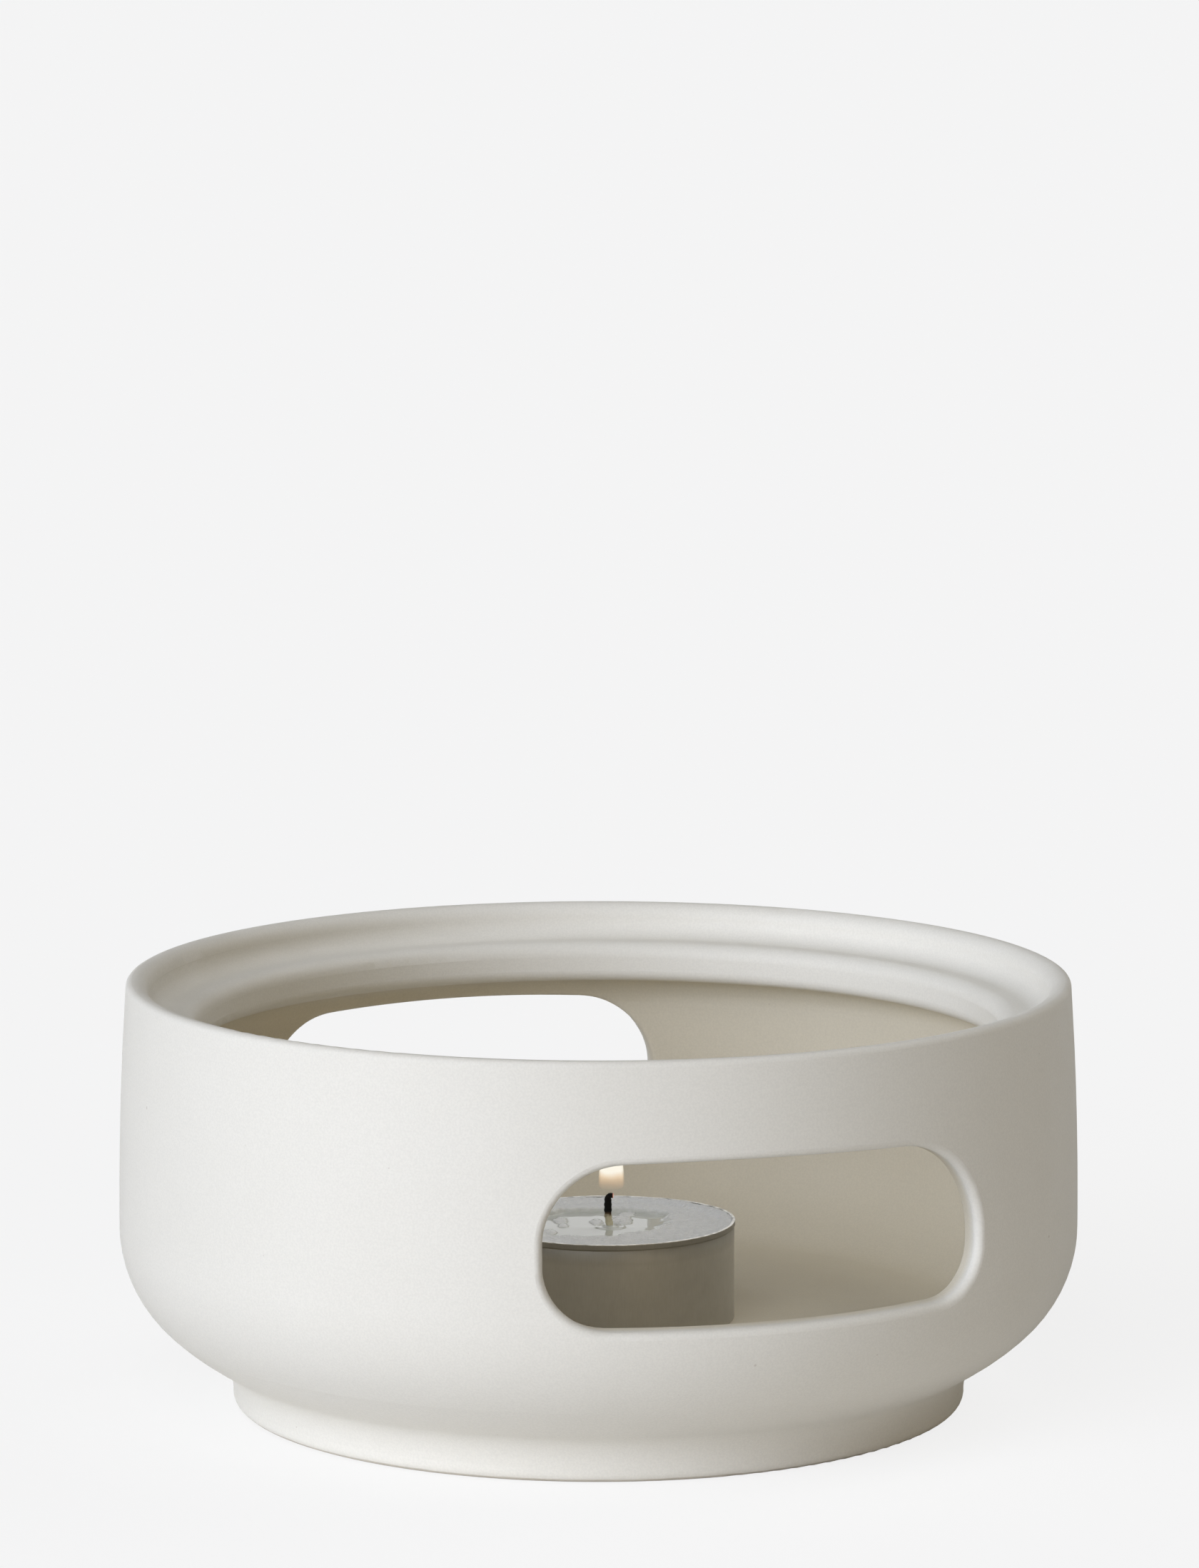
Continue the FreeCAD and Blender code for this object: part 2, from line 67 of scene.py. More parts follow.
cup_low, cup_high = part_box("tealight_cup")
wick_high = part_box("tealight_wick")[1]
CUP_MIDDLE = Vector(((cup_low.x + cup_high.x) / 2, (cup_low.y + cup_high.y) / 2, 0))
RIM_RADIUS = (cup_high.x - cup_low.x) / 2
CUP_FLOOR = cup_low.z
CUP_TOP = cup_high.z
print("cup", round(2 * RIM_RADIUS / MM, 2), "mm across,", round((CUP_TOP - CUP_FLOOR) / MM, 2), "mm high")


def seen_from(point):
    """How far a point lies to the right of the cup's middle and away from the viewer."""
    offset = point - CUP_MIDDLE
    return offset.dot(RIGHT), offset.dot(AWAY)


# %% [markdown]
# Every new piece ends the same way. Its doubled points are merged and its faces turned outwards, it is
# shaded smooth, it rides on the warmer, and it stands for the plain solid that it was shaped from.

# %% Finish a piece
DOUBLES = 0.0005 * MM


def finish_piece(name, shape, material, solid=None):
    bmesh.ops.remove_doubles(shape, verts=shape.verts, dist=DOUBLES)
    bmesh.ops.recalc_face_normals(shape, faces=shape.faces)
    for face in shape.faces:
        face.smooth = True
    mesh = bpy.data.meshes.new(name)
    shape.to_mesh(mesh)
    shape.free()
    mesh.materials.append(material)
    piece = bpy.data.objects.new(name, mesh)
    bpy.context.scene.collection.objects.link(piece)
    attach(piece, "root")
    if solid:
        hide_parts(solid)
    print(name, len(mesh.polygons), "faces")
    return piece


# %% [markdown]
# Hand-drawn metal, wax and cotton are never quite even. Two small helpers give that: one eases a value
# from 0 to 1 with level ends, so that no step shows, and one is smooth noise of a chosen size and depth.

# %% Ease and waver
def soften(value):
    """Ease from 0 to 1 with level ends."""
    value = min(max(value, 0), 1)
    return value * value * (3 - 2 * value)


def waver(point, size, depth, seed=0.0):
    """Smooth noise of a given feature size and depth at a point."""
    return depth * noise.noise(point / size + Vector((seed, 0, 0)))


print("ease at a quarter", soften(0.25))

# %% [markdown]
# Materials are built from nodes. Each starts from a Principled shader whose plain values are set on
# its own sockets. A few helpers add the nodes that come back in every material: sums, a value spread
# between two limits, mixed colours and colours along a value. They take either a number or the socket
# of another node, so a material reads from top to bottom.

# %% Start a material
def add_node(tree, kind, **inputs):
    made = tree.nodes.new(kind)
    for name, value in inputs.items():
        made.inputs[name.replace("_", " ")].default_value = value
    return made


def new_material(name, **plain_values):
    material = bpy.data.materials.new(name)
    material.use_nodes = True
    shader = material.node_tree.nodes["Principled BSDF"]
    for socket, value in plain_values.items():
        shader.inputs[socket.replace("_", " ")].default_value = value
    return material, material.node_tree, shader


def set_or_link(tree, value, socket):
    """Give a socket a plain number or colour, or the output of another node."""
    if isinstance(value, (int, float, tuple)):
        socket.default_value = value
    else:
        tree.links.new(value, socket)


print("materials so far", len(bpy.data.materials))

# %% Sums, spreads and mixes
def combine(tree, operation, first, second=0):
    """A sum on two values."""
    made = tree.nodes.new("ShaderNodeMath")
    made.operation = operation
    set_or_link(tree, first, made.inputs[0])
    set_or_link(tree, second, made.inputs[1])
    return made.outputs[0]


def spread(tree, value, low, high):
    """0 where a value is at the low limit and 1 where it is at the high one."""
    made = tree.nodes.new("ShaderNodeMapRange")
    made.inputs["From Min"].default_value = low
    made.inputs["From Max"].default_value = high
    tree.links.new(value, made.inputs["Value"])
    return made.outputs["Result"]


def mix(tree, factor, first, second, blend=None):
    """Two values, or with a blend two colours, mixed by a factor."""
    made = tree.nodes.new("ShaderNodeMix")
    if blend:
        made.data_type = "RGBA"
        made.blend_type = blend
    set_or_link(tree, factor, made.inputs["Factor"])
    set_or_link(tree, first, made.inputs["A"])
    set_or_link(tree, second, made.inputs["B"])
    return made.outputs["Result"]


def ramp(tree, source, stops):
    """Colours along a value, each stop a position and a grey or a colour."""
    made = tree.nodes.new("ShaderNodeValToRGB")
    points = made.color_ramp.elements
    while len(points) < len(stops):
        points.new(1)
    for point, (position, colour) in zip(points, stops):
        point.position = position
        point.color = (*colour, 1) if isinstance(colour, tuple) else (colour, colour, colour, 1)
    tree.links.new(source, made.inputs["Fac"])
    return made.outputs["Color"]


print("made", [helper.__name__ for helper in (combine, spread, mix, ramp)])

# %% [markdown]
# A pattern needs to know where it is. All patterns here read the object's own coordinates in metres, so
# a noise scale of 1000 gives features about a millimetre across. What a function wrote on the points of
# a mesh, such as how molten the wax is, comes back as an attribute. Fine relief, too small for the mesh,
# is laid on the shader's normal.

# %% Place patterns
def object_point(tree, stretch=(1, 1, 1)):
    """The point on the object, with a pattern squeezed or drawn out along its axes."""
    place = tree.nodes.new("ShaderNodeTexCoord")
    mapping = add_node(tree, "ShaderNodeMapping", Scale=stretch)
    tree.links.new(place.outputs["Object"], mapping.inputs["Vector"])
    return mapping.outputs["Vector"]


def split(tree, point):
    """The X, Y and Z of a point."""
    parts = tree.nodes.new("ShaderNodeSeparateXYZ")
    tree.links.new(point, parts.inputs["Vector"])
    return parts.outputs


def attribute(tree, name):
    made = tree.nodes.new("ShaderNodeAttribute")
    made.attribute_name = name
    return made.outputs["Fac"]


def noise_height(tree, point, scale, detail=2.0):
    made = add_node(tree, "ShaderNodeTexNoise", Scale=scale, Detail=detail)
    tree.links.new(point, made.inputs["Vector"])
    return made.outputs["Fac"]


def bump_from(tree, shader, heights, strength):
    """Stack fine reliefs on the shader's normal, each a height socket and its depth in metres."""
    before = None
    for height, depth in heights:
        relief = add_node(tree, "ShaderNodeBump", Strength=strength, Distance=depth)
        tree.links.new(height, relief.inputs["Height"])
        if before:
            tree.links.new(before, relief.inputs["Normal"])
        before = relief.outputs["Normal"]
    tree.links.new(before, shader.inputs["Normal"])


print("a noise scale of 1000 gives features about", 1 / (1000 * MM), "mm across")

# %% [markdown]
# Two effects come back in several finishes, so each is a node group that is built once. The first
# scatters small flecks of another colour over a soft cloud of two. Its flecks are the cells of a Voronoi
# texture, and a second noise decides which cells get one. The second group lets a value such as the
# roughness wander between two limits.

# %% Make a node group
def new_group(name, inputs, outputs):
    tree = bpy.data.node_groups.new(name, "ShaderNodeTree")
    for socket, kind in inputs.items():
        tree.interface.new_socket(socket, in_out="INPUT", socket_type="NodeSocket" + kind)
    for socket, kind in outputs.items():
        tree.interface.new_socket(socket, in_out="OUTPUT", socket_type="NodeSocket" + kind)
    return tree, tree.nodes.new("NodeGroupInput"), tree.nodes.new("NodeGroupOutput")


def use_group(tree, group, point, **inputs):
    """Place a group in a material at a point, and give back its first output."""
    made = tree.nodes.new("ShaderNodeGroup")
    made.node_tree = group
    for name, value in inputs.items():
        made.inputs[name.replace("_", " ")].default_value = value
    tree.links.new(point, made.inputs["Point"])
    return made.outputs[0]


print("groups so far", len(bpy.data.node_groups))

# %% Flecks
FLECKS_FROM = 0.62
FLECKS_FULL = 0.8


def build_flecks():
    inputs = {"Point": "Vector", "Colour": "Color", "Cloud Colour": "Color", "Fleck Colour": "Color",
              "Cloud Scale": "Float", "Fleck Scale": "Float", "Fleck Share": "Float"}
    tree, given, result = new_group("flecks", inputs, {"Colour": "Color"})
    link = tree.links.new
    cloud = add_node(tree, "ShaderNodeTexNoise", Detail=3)
    spots = tree.nodes.new("ShaderNodeTexVoronoi")
    chance = add_node(tree, "ShaderNodeTexNoise", Detail=1)
    for texture, scale in ((cloud, "Cloud Scale"), (spots, "Fleck Scale"), (chance, "Fleck Scale")):
        link(given.outputs["Point"], texture.inputs["Vector"])
        link(given.outputs[scale], texture.inputs["Scale"])
    size = combine(tree, "MULTIPLY", spread(tree, chance.outputs["Fac"], FLECKS_FROM, FLECKS_FULL),
                   given.outputs["Fleck Share"])
    mask = combine(tree, "LESS_THAN", spots.outputs["Distance"], size)
    clouded = mix(tree, cloud.outputs["Fac"], given.outputs["Colour"], given.outputs["Cloud Colour"], "MIX")
    link(mix(tree, mask, clouded, given.outputs["Fleck Colour"], "MIX"), result.inputs["Colour"])
    return tree


FLECKS = build_flecks()
print("group", FLECKS.name)

# %% Drift
DRIFT_FROM = 0.3
DRIFT_FULL = 0.7


def build_drift():
    inputs = {"Point": "Vector", "Scale": "Float", "Low": "Float", "High": "Float"}
    tree, given, result = new_group("drift", inputs, {"Value": "Float"})
    cloud = add_node(tree, "ShaderNodeTexNoise", Detail=4)
    tree.links.new(given.outputs["Point"], cloud.inputs["Vector"])
    tree.links.new(given.outputs["Scale"], cloud.inputs["Scale"])
    share = spread(tree, cloud.outputs["Fac"], DRIFT_FROM, DRIFT_FULL)
    tree.links.new(mix(tree, share, given.outputs["Low"], given.outputs["High"]), result.inputs["Value"])
    return tree


DRIFT = build_drift()
print("group", DRIFT.name)

# %% [markdown]
# Inside, below the ledge for the pot, the glaze gets a painted warm shade: its colour is darkened and
# warmed where shade and the candle's warm light fall. Inside and outside are one mesh, so the material has
# to find the inside by itself. A second material would need the mesh to be cut, and it must stay as it is.
# Instead a sum tells how far a point is from a ring in the middle of the belly: a point nearer to it than
# the middle of the wall is lies inside.

# %% Find the inside of the bowl
NOSE_UNDERSIDE = 53.2 * MM
BELLY_RING_RADIUS = 52.7 * MM
BELLY_RING_HEIGHT = 27.35 * MM
WALL_MIDDLE_REACH = 17.6 * MM
WALL_HALF = 0.8 * MM


def inside_shade_share(tree, place):
    """Share of painted warm shade: 1 round the candle, and 0 outside, underneath and on the pot's seat."""
    across = combine(tree, "POWER", place["X"], 2)
    deep = combine(tree, "POWER", place["Y"], 2)
    radius = combine(tree, "SQRT", combine(tree, "ADD", across, deep))
    beyond = combine(tree, "MAXIMUM", combine(tree, "SUBTRACT", radius, BELLY_RING_RADIUS), 0)
    below = combine(tree, "MINIMUM", combine(tree, "SUBTRACT", place["Z"], BELLY_RING_HEIGHT), 0)
    reach = combine(tree, "ADD", combine(tree, "POWER", beyond, 2), combine(tree, "POWER", below, 2))
    inside = spread(tree, combine(tree, "SQRT", reach), WALL_MIDDLE_REACH + WALL_HALF,
                    WALL_MIDDLE_REACH - WALL_HALF)
    under_nose = spread(tree, place["Z"], NOSE_UNDERSIDE + WALL_HALF, NOSE_UNDERSIDE - WALL_HALF)
    return combine(tree, "MULTIPLY", inside, under_nose)


print("inside is nearer than", round(WALL_MIDDLE_REACH / MM, 1), "mm to the belly's ring")

# %% [markdown]
# The glaze is a matt, slightly warm white. A close look shows a fine grain, a few specks, and faint level
# streaks where the soft glaze was smoothed on a turning wheel. The streaks are noise that is squeezed
# upright, so that each one runs level round the wall. The lowest half millimetre of the foot, with a
# wandering edge, is a painted contact shadow in a darker grey, and it is also made rougher.

# %% Glaze the warmer
GLAZE = (0.805, 0.78, 0.715, 1)
GLAZE_CLOUD = (0.78, 0.755, 0.685, 1)
GLAZE_SPECK = (0.66, 0.62, 0.55, 1)
GRAIN_SHADES = [(0.35, 0.955), (0.65, 1.0)]
INSIDE_PAINTED_SHADE = (0.89, 0.845, 0.75, 1)
STREAK_SQUEEZE = 12
FOOT_PAINTED_SHADOW = (0.62, 0.575, 0.50, 1)
FOOT_BAND_ROUGHNESS = 0.9
FOOT_BAND_HEIGHT = 0.45 * MM
FOOT_BAND_BLEND = 0.12 * MM
FOOT_BAND_WANDER = 0.35 * MM


def glaze_material():
    material, tree, shader = new_material("warmer_glaze", Specular_IOR_Level=0.35)
    point = object_point(tree)
    place = split(tree, point)
    # The foot's lowest band, with a wandering edge, carries a painted contact shadow and a rougher finish.
    edge = combine(tree, "SUBTRACT", place["Z"],
                   combine(tree, "MULTIPLY", noise_height(tree, point, scale=220), FOOT_BAND_WANDER))
    foot_shadow_band = spread(tree, edge, FOOT_BAND_HEIGHT, FOOT_BAND_HEIGHT - FOOT_BAND_BLEND)

    colour = use_group(tree, FLECKS, point, Colour=GLAZE, Cloud_Colour=GLAZE_CLOUD, Fleck_Colour=GLAZE_SPECK,
                       Cloud_Scale=45, Fleck_Scale=420, Fleck_Share=0.14)
    grain = ramp(tree, noise_height(tree, point, scale=3200, detail=1), GRAIN_SHADES)
    colour = mix(tree, 1.0, colour, grain, "MULTIPLY")
    # Painted warm shade inside the bowl, under the pot's ledge.
    colour = mix(tree, inside_shade_share(tree, place), colour, INSIDE_PAINTED_SHADE, "MULTIPLY")
    # Painted contact shadow: the foot's lowest band is mixed to a darker grey.
    tree.links.new(mix(tree, foot_shadow_band, colour, FOOT_PAINTED_SHADOW, "MIX"), shader.inputs["Base Color"])

    rough = use_group(tree, DRIFT, point, Scale=160, Low=0.5, High=0.64)
    tree.links.new(mix(tree, foot_shadow_band, rough, FOOT_BAND_ROUGHNESS), shader.inputs["Roughness"])
    streaks = object_point(tree, (1, 1, STREAK_SQUEEZE))
    bump_from(tree, shader, [
        (noise_height(tree, streaks, scale=60, detail=4), 0.09 * MM),
        (noise_height(tree, point, scale=1900), 0.02 * MM),
    ], strength=0.5)
    return material


def dress_node(node, material):
    """Give a solid of the part's own model a material, and leave its mesh as it is."""
    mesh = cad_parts[node].data
    mesh.materials.clear()
    mesh.materials.append(material)
    print(node, "in", material.name)


dress_node("warmer_body", glaze_material())

# %% [markdown]
# The tealight's cup is drawn from soft aluminium about a third of a millimetre thick. A groove runs under
# its rolled rim, which wavers a little and sinks by half a millimetre at the back. It could be cut from a
# cylinder, but a thin turned piece is quicker to draw as its section: a line of points, rounded at its
# corners with a bevel and spun once round the cup's middle.

# %% Spin a section
ROUND_STEPS = 4


def spin_section(points, steps, rounds=(), cuts=()):
    """Spin a section of (radius, height) points once round the candle's middle.

    Rounds are (point number, radius) pairs whose corners are beveled first. Cuts are (edge number, count)
    pairs that divide an edge evenly."""
    shape = bmesh.new()
    made = [shape.verts.new(CUP_MIDDLE + Vector((radius, 0, height))) for radius, height in points]
    edges = [shape.edges.new(pair) for pair in zip(made, made[1:])]
    for number, count in cuts:
        bmesh.ops.subdivide_edges(shape, edges=[edges[number]], cuts=count)
    for number, radius in rounds:
        bmesh.ops.bevel(shape, geom=[made[number]], offset=radius, segments=ROUND_STEPS, profile=0.5,
                        affect="VERTICES", material=-1)
    bmesh.ops.spin(shape, geom=shape.verts[:] + shape.edges[:], cent=CUP_MIDDLE, axis=(0, 0, 1),
                   angle=2 * math.pi, steps=steps, use_merge=True)
    return shape


print("each round has", ROUND_STEPS, "steps")

# %% Measure the rim
SHEET = 0.3 * MM
WALL_RADIUS = RIM_RADIUS - 0.13 * MM
INNER_RADIUS = WALL_RADIUS - SHEET
RIM_BAND = 0.95 * MM
RIM_FOOT = CUP_TOP - RIM_BAND
GROOVE = 0.12 * MM
GROOVE_DEPTH = 0.1 * MM
RIM_TOP_EDGE = 0.16 * MM
BACK_DROP = 0.5 * MM


def sunk(point):
    """How far the cup's back edge has sunk at a point, so that the rim leans away from the viewer."""
    return BACK_DROP * min(max(seen_from(point)[1] / RIM_RADIUS, 0), 1)


print("rim band", round(RIM_BAND / MM, 2), "mm over a wall", round(2 * WALL_RADIUS / MM, 2), "mm across")

# %% [markdown]
# The metal is matt from drawing, with fine upright marks and shallow dents. Towards the top its colour is
# darkened as painted shade under and on the rim, and the rim's top edge is a painted highlight. How strong
# that highlight is at a point was written on the mesh.

# %% Mix the aluminium
ALUMINIUM = (0.60, 0.585, 0.545, 1)
ALUMINIUM_CLOUD = (0.53, 0.515, 0.475, 1)
ALUMINIUM_FLECK = (0.48, 0.465, 0.43, 1)
RIM_PAINTED_HIGHLIGHT = (0.9, 0.89, 0.87, 1)
RIM_PAINTED_SHADE = (0.68, 0.68, 0.68, 1)
RIM_SHADE_DEPTH = 3.5 * MM
DRAW_MARKS = 12


def cup_material():
    material, tree, shader = new_material("cup_aluminium", Metallic=1.0)
    point = object_point(tree)
    drawn = object_point(tree, (DRAW_MARKS, DRAW_MARKS, 1))
    colour = use_group(tree, FLECKS, point, Colour=ALUMINIUM, Cloud_Colour=ALUMINIUM_CLOUD,
                       Fleck_Colour=ALUMINIUM_FLECK, Cloud_Scale=500, Fleck_Scale=900, Fleck_Share=0.2)
    # Painted shade: the metal darkens upwards towards the rim's foot and stays dark over the rim band.
    high = spread(tree, split(tree, point)["Z"], CUP_TOP - RIM_SHADE_DEPTH, RIM_FOOT)
    colour = mix(tree, high, colour, RIM_PAINTED_SHADE, "MULTIPLY")
    # Painted highlight: the rim's top edge is mixed towards a pale grey where the mesh marks it.
    colour = mix(tree, attribute(tree, "rim_highlight"), colour, RIM_PAINTED_HIGHLIGHT, "MIX")
    tree.links.new(colour, shader.inputs["Base Color"])
    rough = use_group(tree, DRIFT, drawn, Scale=700, Low=0.56, High=0.66)
    tree.links.new(rough, shader.inputs["Roughness"])
    bump_from(tree, shader, [
        (noise_height(tree, drawn, scale=200), 0.02 * MM),
        (noise_height(tree, point, scale=700), 0.015 * MM),
    ], strength=0.6)
    return material


# The printed span is that of the painted shade under the rim.
print("the metal dulls from", round((CUP_TOP - RIM_SHADE_DEPTH) / MM, 1), "to", round(RIM_FOOT / MM, 1), "mm")

# %% [markdown]
# The section runs from the middle of the cup's floor, up the outside, over the rim and down the inside.
# Noise then moves each point by a few hundredths of a millimetre, always inwards or down, so that the
# cup never outgrows its solid. The rim wavers more than the wall.

# %% Draw the cup
CUP_STEPS = 288
WALL_LEVELS = (4 * MM, 8 * MM, 12 * MM)
DENT_SIZE = 6 * MM
DENT_DEPTH = 0.05 * MM
CRIMP_SIZE = 1.5 * MM
CRIMP_DEPTH = 0.05 * MM
RIM_WAVE_SIZE = 2.2 * MM
RIM_WAVE_DEPTH = 0.06 * MM
CRIMP_SEED, RIM_WAVE_SEED, HIGHLIGHT_SEED = 7, 3, 5
RIM_BLEND_BELOW = 1.5 * MM
RIM_BLEND = 2.0 * MM
HIGHLIGHT_TOP = 0.11 * MM
HIGHLIGHT_PATCH = 1.1 * MM
HIGHLIGHT_SHARE = 0.75
HIGHLIGHT_VARIES = 0.8


def cup_section():
    wall = [(WALL_RADIUS, CUP_FLOOR + level) for level in WALL_LEVELS]
    return [
        (0, CUP_FLOOR),
        (WALL_RADIUS, CUP_FLOOR),
        *wall,
        (WALL_RADIUS, RIM_FOOT - GROOVE),
        (WALL_RADIUS - GROOVE_DEPTH, RIM_FOOT),
        (RIM_RADIUS, RIM_FOOT + GROOVE),
        (RIM_RADIUS, CUP_TOP - RIM_TOP_EDGE),
        (RIM_RADIUS, CUP_TOP),
        (INNER_RADIUS, CUP_TOP),
        (INNER_RADIUS, CUP_FLOOR + SHEET),
        (0, CUP_FLOOR + SHEET),
    ]


CUP_ROUNDS = [(1, 0.12 * MM), (7, 0.05 * MM), (9, 0.08 * MM), (10, 0.12 * MM)]


def drawn_cup():
    cup = spin_section(cup_section(), CUP_STEPS, CUP_ROUNDS)
    rim_highlight = cup.verts.layers.float.new("rim_highlight")
    for vert in cup.verts:
        out = vert.co - CUP_MIDDLE
        out.z = 0
        if out.length < INNER_RADIUS - SHEET:
            continue
        # Mark the painted highlight along the rim's top edge, in wandering patches.
        if vert.co.z > CUP_TOP - HIGHLIGHT_TOP:
            vert[rim_highlight] = soften(HIGHLIGHT_SHARE + waver(vert.co, HIGHLIGHT_PATCH, HIGHLIGHT_VARIES, HIGHLIGHT_SEED))
        near_rim = soften((vert.co.z - RIM_FOOT + RIM_BLEND_BELOW) / RIM_BLEND)
        shift = waver(vert.co, DENT_SIZE, DENT_DEPTH)
        shift += near_rim * waver(vert.co, CRIMP_SIZE, CRIMP_DEPTH, CRIMP_SEED)
        vert.co += out.normalized() * min(shift, 0)
        wave = min(waver(vert.co, RIM_WAVE_SIZE, RIM_WAVE_DEPTH, RIM_WAVE_SEED), 0)
        vert.co.z += near_rim * (wave - sunk(vert.co))
    return cup


finish_piece("drawn_tealight_cup", drawn_cup(), cup_material(), "tealight_cup")

# %% [markdown]
# The candle has burnt for a while. A clear pool has melted round the wick, and a grainy white terrace
# of solid wax is left by the wall. On the right the two meet in a soft slope. Low lumps that haven't melted
# yet stand in the pool near the wick, and the liquid climbs a little where it meets the wick. Sculpting
# such a surface by hand takes long and can't be repeated, so a few marks on the wax say where its forms
# lie.

# %% Mark the wax
WICK_FOOT_RIGHT = 0.5 * MM
POOL_LEVEL = CUP_TOP - 1.45 * MM
TERRACE_RISE = 0.75 * MM
WALL_CLIMB = 0.6 * MM
WAX_RADIUS = INNER_RADIUS - 0.02 * MM
WAX_STEPS = 400
WAX_RINGS = 100

# Soft lumps in the pool: right, away, half width, half depth and rise, in millimetres
LUMPS = [
    (2.3, 6.0, 1.7, 4.2, 0.34),
    (3.0, 10.4, 1.5, 2.4, 0.3),
    (-1.7, 4.4, 1.2, 2.7, 0.22),
    (-7.2, 5.6, 1.2, 3.4, 0.2),
    (-6.7, 1.4, 0.9, 2.2, 0.16),
    (-8.9, -3.6, 1.4, 2.6, 0.24),
    (-9.0, -7.6, 1.4, 2.4, 0.24),
]

# Raised rings of surface film: right, away, radius, in millimetres
FILM_RINGS = [(0.4, 0.6, 2.1), (-4.0, -10.0, 3.0), (6.4, 10.4, 2.6)]

# The pool's edge: direction in degrees, counted from the right, and reach in millimetres
POOL_EDGE = [(-96, 9.0), (-63, 6.4), (-30, 6.4), (-2, 6.8), (30, 9.0), (50, 12.6), (90, 13.2), (130, 13.4),
             (170, 12.5), (215, 11.5), (264, 9.0)]
print("marks on the wax", len(LUMPS), "lumps,", len(FILM_RINGS), "rings,", len(POOL_EDGE), "on the edge")


# %% [markdown]
# From the marks, a few short functions give the height of the wax at any place. The terrace starts at the
# pool's edge and climbs at the cup's wall. Its edge wanders, and its top has a wide swell and two sizes of
# grain. All these numbers are in millimetres, and each wave is a size and a depth.

# %% Shape the terrace
SHORE = 0.5
MUSH = 3.2
WALL_FROM = 16.5
WALL_WIDTH = 2.3
BORDER_WAVE = (1.9, 0.8)
TERRACE_SWELL = (3.1, 0.16)
SWELL_SHIFT = Vector((0, 27.9, 0))
COARSE_GRAIN = (0.8, 0.10)
FINE_GRAIN = (0.38, 0.07)
FINE_SEED = 5


def pool_border(angle):
    """Radius of the pool's edge in a direction seen from above."""
    turn = (math.degrees(angle) - POOL_EDGE[0][0]) % 360 + POOL_EDGE[0][0]
    for (first, near), (last, far) in zip(POOL_EDGE, POOL_EDGE[1:]):
        if turn <= last:
            return near + (far - near) * soften((turn - first) / (last - first))
    return POOL_EDGE[-1][1]


def wax_grain(flat):
    return waver(flat, *COARSE_GRAIN) + waver(flat, *FINE_GRAIN, FINE_SEED)


def terrace(flat, grain):
    """Height of the solid wax by the wall and how solid it is."""
    right, away, _ = flat
    reach = math.hypot(right, away)
    border = pool_border(math.atan2(away, right)) + waver(flat, *BORDER_WAVE)
    mush = MUSH * max(right / max(reach, 1), 0) ** 2
    solid = soften((reach - border) / (SHORE + mush))
    rise = TERRACE_RISE / MM + waver(flat + SWELL_SHIFT, *TERRACE_SWELL) + grain
    climb = WALL_CLIMB / MM * soften((reach - WALL_FROM) / WALL_WIDTH)
    return solid * (rise + climb), solid


print("the pool reaches", round(pool_border(0), 1), "mm to the right of the cup's middle")

# %% [markdown]
# Over the terrace and the pool come the small forms. Each lump is a low dome, each ring of film is a thin
# ridge, and the liquid climbs at the wick. The function also says how molten the wax is at the place, and
# the material will read that.

# %% Shape the pool
LUMP_WAVE = (1.1, 0.3)
LUMP_SHORE = 0.6
LUMP_EDGE = 0.3
LUMP_FIRMNESS = 0.85
FILM_WIDTH = 0.2
FILM_RISE = 0.13
WICK_CLIMB = 0.45
CLIMB_FROM = 0.6


def wax_height(right, away):
    """Height over the pool and how molten the wax is."""
    flat = Vector((right, away, 0))
    grain = wax_grain(flat)
    rise, solid = terrace(flat, grain)
    for lump_right, lump_away, half_width, half_depth, lump_rise in LUMPS:
        across = (right - lump_right) / half_width
        along = (away - lump_away) / half_depth
        near = 1 - math.hypot(across, along) + waver(flat, *LUMP_WAVE)
        rise = max(rise, (lump_rise + grain / 2) * soften(near / LUMP_SHORE))
        solid = max(solid, LUMP_FIRMNESS * soften(near / LUMP_EDGE))
    for ring_right, ring_away, radius in FILM_RINGS:
        off = (math.hypot(right - ring_right, away - ring_away) - radius) / FILM_WIDTH
        rise += (1 - solid) * FILM_RISE * math.exp(-off * off)
    wick_reach = math.hypot(right - WICK_FOOT_RIGHT / MM, away)
    rise += WICK_CLIMB * math.exp(-max(wick_reach - CLIMB_FROM, 0) / WICK_CLIMB)
    return rise, 1 - solid


print("the wax by the wall stands", round(wax_height(-WALL_FROM, 0)[0], 2), "mm over the pool")

# %% [markdown]
# Wax lets light in a little way, so it gets some scattering under its surface. Solid wax is white, grainy
# and half matt. Molten wax is clear, and in the pool it shows the grey of the wax beneath it and mirrors
# what is behind, so it is darker and very smooth.

# %% Mix the wax
WAX_WHITE = (0.94, 0.95, 0.95, 1)
WAX_CLOUD = (0.71, 0.725, 0.73, 1)
WAX_FLECK = (0.98, 0.99, 1.0, 1)
WAX_MOLTEN = (0.62, 0.64, 0.60, 1)
MOLTEN_ROUGHNESS = 0.03


